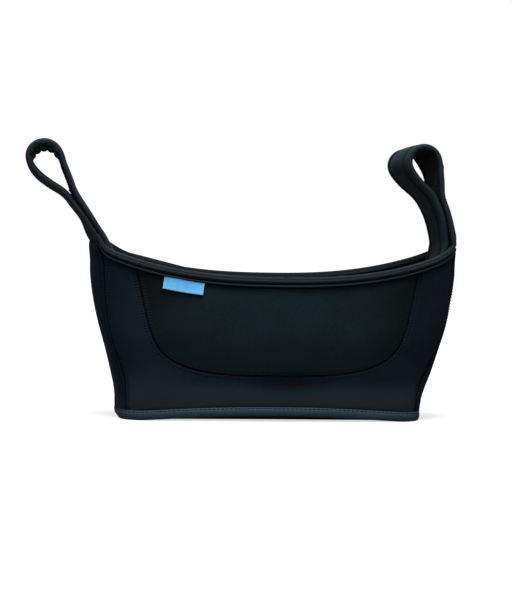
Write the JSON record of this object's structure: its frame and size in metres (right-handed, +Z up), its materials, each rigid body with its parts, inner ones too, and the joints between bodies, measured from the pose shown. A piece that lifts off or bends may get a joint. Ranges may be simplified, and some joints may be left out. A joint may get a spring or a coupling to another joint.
{
  "type": "stroller organizer",
  "caption": "Open padded caddy with a flared body, a curved front pocket panel, cup dividers inside and a looped strap at each end for hanging on a handlebar.",
  "frame": {"origin": "on the floor under the middle of the base", "axes": "+X to the right along the organizer's length as seen from the front, +Y from the front to the back, +Z up"},
  "size_m": [0.4402, 0.1083, 0.2828],
  "materials": {
    "side_cloth": "matte smooth knit",
    "insert_cloth": "matte smooth knit, slightly greener",
    "edge_tape": "soft sheen folded tape",
    "lining_cloth": "matte",
    "strap_cloth": "matte smooth knit",
    "loop_pile": "soft pile",
    "hook_pile": "rough pile",
    "label_cloth": "woven satin"
  },
  "bodies": {
    "root": {"front_surround": "side_cloth", "front_insert": "insert_cloth", "back_panel": "side_cloth", "left_gusset": "side_cloth", "right_gusset": "side_cloth", "front_rim_tape": "edge_tape", "back_rim_tape": "edge_tape", "hem_tape": "edge_tape", "base_panel": "side_cloth", "base_board": "lining_cloth", "left_divider": "lining_cloth", "right_divider": "lining_cloth", "left_divider_tape": "edge_tape", "right_divider_tape": "edge_tape", "strap_left": "strap_cloth", "strap_right": "strap_cloth", "strap_left_near_tape": "edge_tape", "strap_left_far_tape": "edge_tape", "strap_right_near_tape": "edge_tape", "strap_right_far_tape": "edge_tape", "loop_patch_left": "loop_pile", "hook_patch_left": "hook_pile", "loop_patch_right": "loop_pile", "hook_patch_right": "hook_pile", "label": "label_cloth"}
  },
  "joints": []
}
